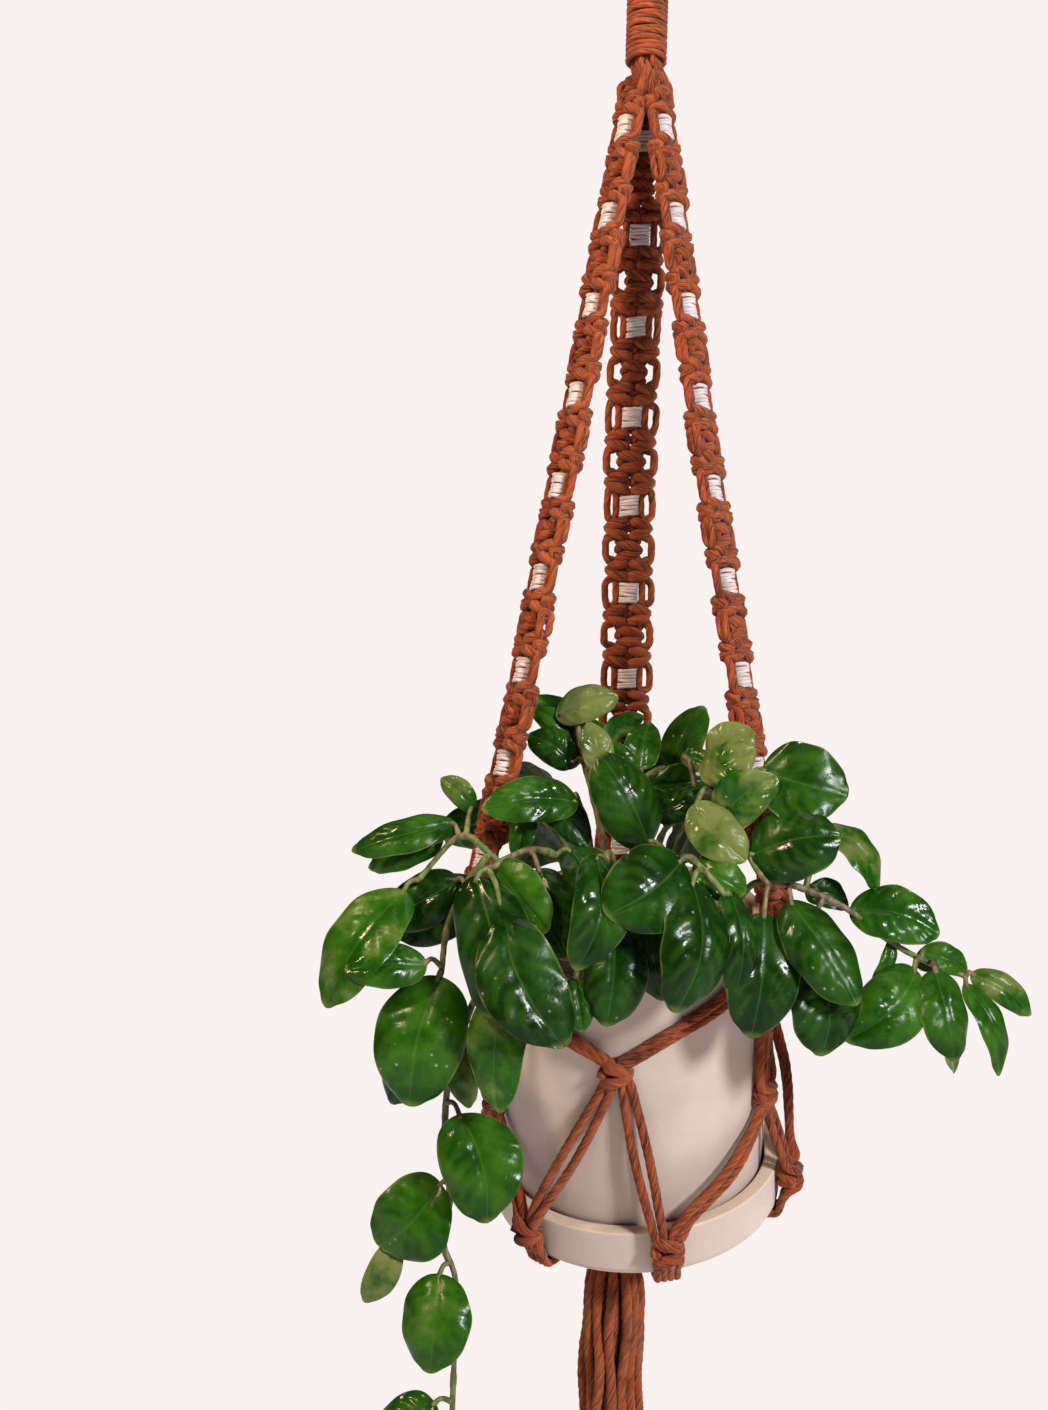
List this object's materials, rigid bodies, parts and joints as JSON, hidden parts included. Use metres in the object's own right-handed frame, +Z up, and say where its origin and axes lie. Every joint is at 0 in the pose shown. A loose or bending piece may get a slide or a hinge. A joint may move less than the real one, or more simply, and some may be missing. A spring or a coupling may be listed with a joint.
{
  "type": "hanging macrame planter",
  "caption": "Hanging cord planter: knotted straps and net from a ring hold a ceramic pot on a saucer, with a trailing plant and a tassel.",
  "frame": {"origin": "where a hook bears, on the inside of the top of the hanging ring", "axes": "+Z up along the hanging line, +X to the right, -Y to the front, where a trailing vine hangs on the left"},
  "size_m": [0.3222, 0.2255, 0.946],
  "materials": {
    "ring_wood": "satin",
    "cotton_cord": "matte",
    "pale_thread": "matte",
    "stoneware": "matte",
    "potting_soil": "matte",
    "leaf": "gloss"
  },
  "bodies": {
    "ring": {"hanging_ring": "ring_wood"},
    "hanger": {"cord_loops": "cotton_cord", "top_wrap": "cotton_cord", "strap_left": "cotton_cord", "strap_right": "cotton_cord", "strap_back": "cotton_cord", "strap_left_thread_1": "pale_thread", "strap_left_thread_2": "pale_thread", "strap_left_thread_3": "pale_thread", "strap_left_thread_4": "pale_thread", "strap_left_thread_5": "pale_thread", "strap_left_thread_6": "pale_thread", "strap_left_thread_7": "pale_thread", "strap_left_thread_8": "pale_thread", "strap_left_thread_9": "pale_thread", "strap_right_thread_1": "pale_thread", "strap_right_thread_2": "pale_thread", "strap_right_thread_3": "pale_thread", "strap_right_thread_4": "pale_thread", "strap_right_thread_5": "pale_thread", "strap_right_thread_6": "pale_thread", "strap_right_thread_7": "pale_thread", "strap_right_thread_8": "pale_thread", "strap_right_thread_9": "pale_thread", "strap_back_thread_1": "pale_thread", "strap_back_thread_2": "pale_thread", "strap_back_thread_3": "pale_thread", "strap_back_thread_4": "pale_thread", "strap_back_thread_5": "pale_thread", "strap_back_thread_6": "pale_thread", "strap_back_thread_7": "pale_thread", "strap_back_thread_8": "pale_thread", "strap_back_thread_9": "pale_thread", "net_between_knot_1": "cotton_cord", "net_between_knot_2": "cotton_cord", "net_between_knot_3": "cotton_cord", "net_under_strap_knot_1": "cotton_cord", "net_under_strap_knot_2": "cotton_cord", "net_under_strap_knot_3": "cotton_cord", "net_lower_knot_1": "cotton_cord", "net_lower_knot_2": "cotton_cord", "net_lower_knot_3": "cotton_cord", "net_lower_knot_4": "cotton_cord", "net_lower_knot_5": "cotton_cord", "net_lower_knot_6": "cotton_cord", "gathering_wrap": "cotton_cord"},
    "tassel": {"tassel_strands_1": "cotton_cord", "tassel_strands_2": "cotton_cord", "tassel_strands_3": "cotton_cord", "tassel_strands_4": "cotton_cord", "tassel_strands_5": "cotton_cord", "tassel_strands_6": "cotton_cord"},
    "saucer": {"saucer": "stoneware"},
    "pot": {"pot": "stoneware", "soil": "potting_soil", "plant_crown": "leaf"},
    "left_shoot": {"left_shoot": "leaf"},
    "right_shoot": {"right_shoot": "leaf"},
    "trailing_vine": {"trailing_vine": "leaf"}
  },
  "joints": [
    {"name": "hanger_swing", "type": "hinge", "parent": "ring", "child": "hanger", "pos_m": [0, 0, -0.052], "axis": [1, 0, 0], "range_deg": [-12, 12]},
    {"name": "saucer_lift", "type": "slide", "parent": "hanger", "child": "saucer", "axis": [-0.1, -0.2924, 0.9511], "range_m": [0, 0.002]},
    {"name": "pot_lift", "type": "slide", "parent": "saucer", "child": "pot", "axis": [-0.1, -0.2924, 0.9511], "range_m": [0, 0.003]},
    {"name": "tassel_sway", "type": "hinge", "parent": "hanger", "child": "tassel", "pos_m": [0.001, 0.008, -0.71], "axis": [0, 1, 0], "range_deg": [-12, 12]},
    {"name": "vine_sway", "type": "hinge", "parent": "pot", "child": "trailing_vine", "pos_m": [-0.056, -0.078, -0.542], "axis": [0, 1, 0], "range_deg": [-3, 12]},
    {"name": "right_shoot_bob", "type": "hinge", "parent": "pot", "child": "right_shoot", "pos_m": [0.044, -0.05, -0.536], "axis": [0, 1, 0], "range_deg": [-5, 4], "stiffness_Nm_per_rad": 0.6},
    {"name": "left_shoot_bob", "type": "hinge", "parent": "pot", "child": "left_shoot", "pos_m": [-0.036, -0.052, -0.545], "axis": [0, 1, 0], "range_deg": [-4, 5], "stiffness_Nm_per_rad": 0.6}
  ]
}
